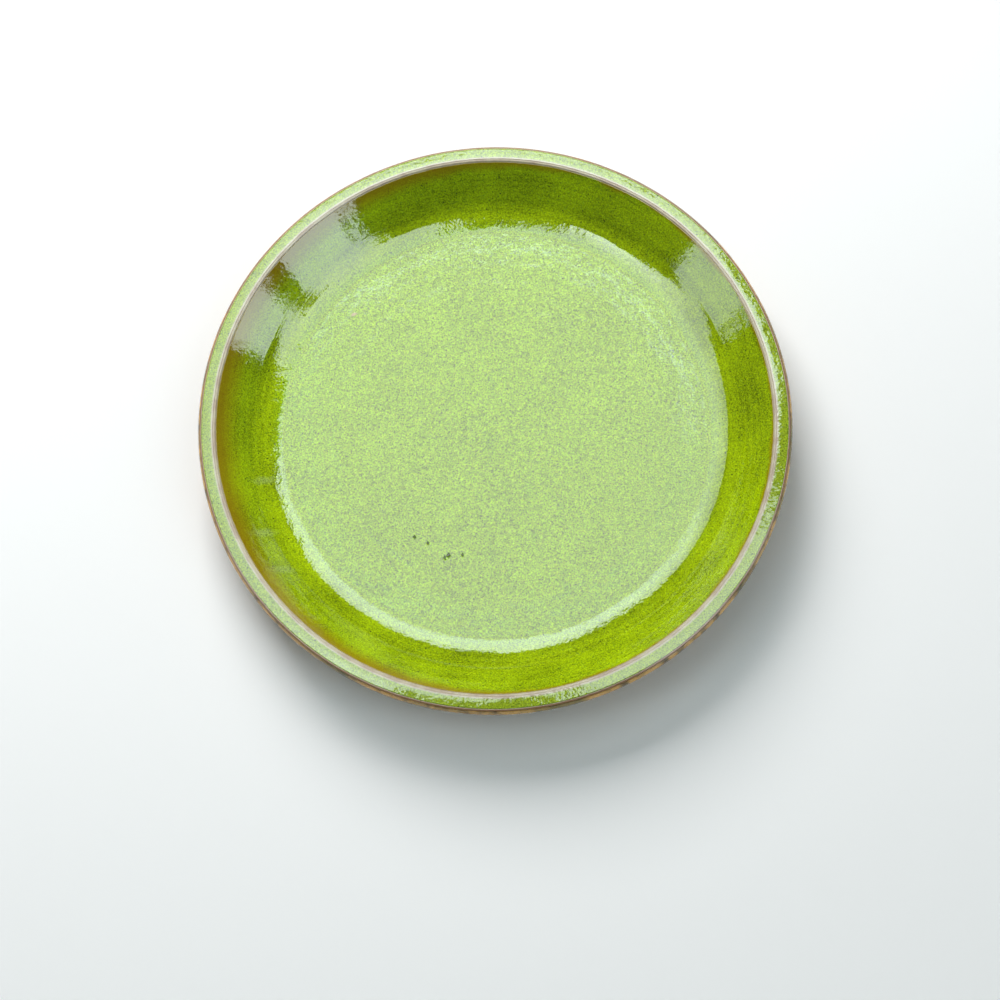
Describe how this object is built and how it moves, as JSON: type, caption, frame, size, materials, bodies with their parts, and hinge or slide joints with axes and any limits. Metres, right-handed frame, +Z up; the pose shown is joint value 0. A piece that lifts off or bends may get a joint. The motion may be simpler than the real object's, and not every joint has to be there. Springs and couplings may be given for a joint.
{
  "type": "glazed earthenware plate",
  "caption": "Round wheel-thrown serving plate with a wide flat well, a steep side and a narrow flat lip, in glossy green glaze over slip on red clay.",
  "frame": {"origin": "centre of the circle that the foot ring stands on, at the level of the bench", "axes": "+Z up along the axis the plate was turned on; X and Y lie in the bench, and the plate is the same all the way round"},
  "size_m": [0.3, 0.3, 0.035],
  "materials": {
    "terracotta": "bare fired clay, matte",
    "slip": "white slip under a film of clear glaze, glossy",
    "well_glaze": "high gloss",
    "lip_glaze": "high gloss",
    "outside_glaze": "high gloss over bare clay"
  },
  "bodies": {
    "root": {"clay_body": "terracotta", "white_slip": "slip", "well_glaze": "well_glaze", "lip_glaze": "lip_glaze", "outside_glaze": "outside_glaze"}
  },
  "joints": []
}
